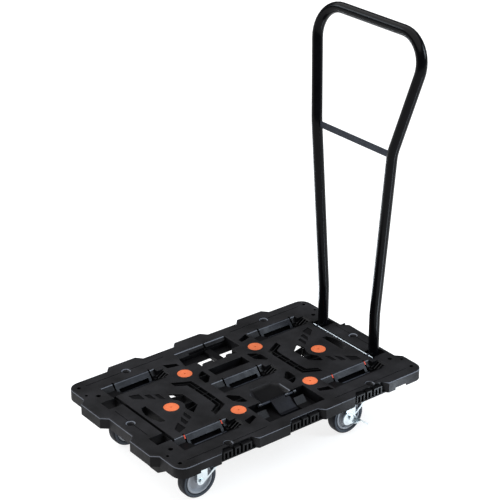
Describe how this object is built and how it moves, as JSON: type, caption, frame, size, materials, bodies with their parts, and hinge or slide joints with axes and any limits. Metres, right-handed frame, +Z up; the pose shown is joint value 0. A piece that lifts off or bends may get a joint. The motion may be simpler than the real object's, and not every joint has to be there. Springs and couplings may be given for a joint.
{
  "type": "folding platform cart",
  "caption": "Flat platform cart with a slotted plastic deck on swivel casters and a tube handle that folds down over the deck.",
  "frame": {"origin": "on the floor, under the middle of the cart's overall length and width", "axes": "+Z up, +X along the deck towards the handle, +Y across the deck towards the side with the three coupling tabs"},
  "size_m": [0.814, 0.507, 1.0535],
  "materials": {
    "deck_plastic": "fine-grained moulded black",
    "stop_plastic": "satin moulded dark grey",
    "orange_plastic": "satin moulded orange",
    "black_paint": "gloss black powder coat",
    "zinc_steel": "bright zinc plate",
    "hub_plastic": "satin light grey",
    "tyre_rubber": "smooth grey rubber"
  },
  "bodies": {
    "deck": {"deck": "deck_plastic", "grip_disc_front_far": "orange_plastic", "grip_disc_rear_far": "orange_plastic", "grip_disc_front_near": "orange_plastic", "grip_disc_rear_near": "orange_plastic", "grip_disc_front_middle": "orange_plastic", "grip_disc_rear_middle": "orange_plastic", "stop_pin_front_far": "black_paint", "stop_pin_rear_far": "black_paint", "stop_pin_centre": "black_paint", "stop_pin_front_near": "black_paint", "stop_pin_rear_near": "black_paint", "stop_catch_front_near_a": "orange_plastic", "stop_catch_front_near_b": "orange_plastic", "stop_catch_rear_near_a": "orange_plastic", "stop_catch_rear_near_b": "orange_plastic", "link_pin": "black_paint", "hinge_rod": "zinc_steel", "caster_plate_front_near": "zinc_steel", "swivel_race_front_near": "zinc_steel", "caster_plate_front_far": "zinc_steel", "swivel_race_front_far": "zinc_steel", "caster_plate_rear_near": "zinc_steel", "swivel_race_rear_near": "zinc_steel", "caster_plate_rear_far": "zinc_steel", "swivel_race_rear_far": "zinc_steel"},
    "handle": {"handle_tube": "black_paint", "handle_crossbar": "black_paint", "hinge_ear_near": "black_paint", "hinge_ear_far": "black_paint"},
    "flip_stop_front_far": {"flip_stop_front_far": "stop_plastic"},
    "flip_stop_rear_far": {"flip_stop_rear_far": "stop_plastic"},
    "flip_stop_centre": {"flip_stop_centre": "stop_plastic"},
    "flip_stop_front_near": {"flip_stop_front_near": "stop_plastic"},
    "flip_stop_rear_near": {"flip_stop_rear_near": "stop_plastic"},
    "link_tongue": {"link_tongue": "stop_plastic"},
    "swivel_front_near": {"fork_front_near": "zinc_steel", "axle_front_near": "zinc_steel"},
    "wheel_front_near": {"wheel_hub_front_near": "hub_plastic", "tyre_front_near": "tyre_rubber"},
    "swivel_front_far": {"fork_front_far": "zinc_steel", "axle_front_far": "zinc_steel"},
    "wheel_front_far": {"wheel_hub_front_far": "hub_plastic", "tyre_front_far": "tyre_rubber"},
    "swivel_rear_near": {"fork_rear_near": "zinc_steel", "axle_rear_near": "zinc_steel"},
    "wheel_rear_near": {"wheel_hub_rear_near": "hub_plastic", "tyre_rear_near": "tyre_rubber"},
    "brake_rear_near": {"brake_pedal_rear_near": "zinc_steel"},
    "swivel_rear_far": {"fork_rear_far": "zinc_steel", "axle_rear_far": "zinc_steel"},
    "wheel_rear_far": {"wheel_hub_rear_far": "hub_plastic", "tyre_rear_far": "tyre_rubber"},
    "brake_rear_far": {"brake_pedal_rear_far": "zinc_steel"}
  },
  "joints": [
    {"name": "handle_fold", "type": "hinge", "parent": "deck", "child": "handle", "pos_m": [0.322, -0.0085, 0.1618], "axis": [0, -1, 0], "range_deg": [0, 88]},
    {"name": "flip_stop_front_far_tilt", "type": "hinge", "parent": "deck", "child": "flip_stop_front_far", "pos_m": [-0.234, 0.1535, 0.1404], "axis": [1, 0, 0], "range_deg": [0, 40]},
    {"name": "flip_stop_rear_far_tilt", "type": "hinge", "parent": "deck", "child": "flip_stop_rear_far", "pos_m": [0.234, 0.1535, 0.1404], "axis": [1, 0, 0], "range_deg": [0, 40]},
    {"name": "flip_stop_centre_tilt", "type": "hinge", "parent": "deck", "child": "flip_stop_centre", "pos_m": [0, 0.0005, 0.1404], "axis": [1, 0, 0], "range_deg": [0, 40]},
    {"name": "flip_stop_front_near_tilt", "type": "hinge", "parent": "deck", "child": "flip_stop_front_near", "pos_m": [-0.234, -0.1525, 0.1404], "axis": [1, 0, 0], "range_deg": [0, 40]},
    {"name": "flip_stop_rear_near_tilt", "type": "hinge", "parent": "deck", "child": "flip_stop_rear_near", "pos_m": [0.234, -0.1525, 0.1404], "axis": [1, 0, 0], "range_deg": [0, 40]},
    {"name": "link_tongue_lift", "type": "hinge", "parent": "deck", "child": "link_tongue", "pos_m": [0, -0.1305, 0.158], "axis": [-1, 0, 0], "range_deg": [0, 22]},
    {"name": "caster_swivel_front_near", "type": "hinge", "parent": "deck", "child": "swivel_front_near", "pos_m": [-0.2385, -0.1585, 0.125], "axis": [0, 0, 1], "continuous": true},
    {"name": "wheel_spin_front_near", "type": "hinge", "parent": "swivel_front_near", "child": "wheel_front_near", "pos_m": [-0.2725, -0.1585, 0.05], "axis": [0, 1, 0], "continuous": true},
    {"name": "caster_swivel_front_far", "type": "hinge", "parent": "deck", "child": "swivel_front_far", "pos_m": [-0.2385, 0.1415, 0.125], "axis": [0, 0, 1], "continuous": true},
    {"name": "wheel_spin_front_far", "type": "hinge", "parent": "swivel_front_far", "child": "wheel_front_far", "pos_m": [-0.2725, 0.1415, 0.05], "axis": [0, 1, 0], "continuous": true},
    {"name": "caster_swivel_rear_near", "type": "hinge", "parent": "deck", "child": "swivel_rear_near", "pos_m": [0.2385, -0.1585, 0.125], "axis": [0, 0, 1], "continuous": true},
    {"name": "wheel_spin_rear_near", "type": "hinge", "parent": "swivel_rear_near", "child": "wheel_rear_near", "pos_m": [0.2045, -0.1585, 0.05], "axis": [0, 1, 0], "continuous": true},
    {"name": "brake_pedal_rear_near_press", "type": "hinge", "parent": "swivel_rear_near", "child": "brake_rear_near", "pos_m": [0.2045, -0.1585, 0.05], "axis": [0, 1, 0], "range_deg": [0, 12]},
    {"name": "caster_swivel_rear_far", "type": "hinge", "parent": "deck", "child": "swivel_rear_far", "pos_m": [0.2385, 0.1415, 0.125], "axis": [0, 0, 1], "continuous": true},
    {"name": "wheel_spin_rear_far", "type": "hinge", "parent": "swivel_rear_far", "child": "wheel_rear_far", "pos_m": [0.2045, 0.1415, 0.05], "axis": [0, 1, 0], "continuous": true},
    {"name": "brake_pedal_rear_far_press", "type": "hinge", "parent": "swivel_rear_far", "child": "brake_rear_far", "pos_m": [0.2045, 0.1415, 0.05], "axis": [0, 1, 0], "range_deg": [0, 12]}
  ]
}
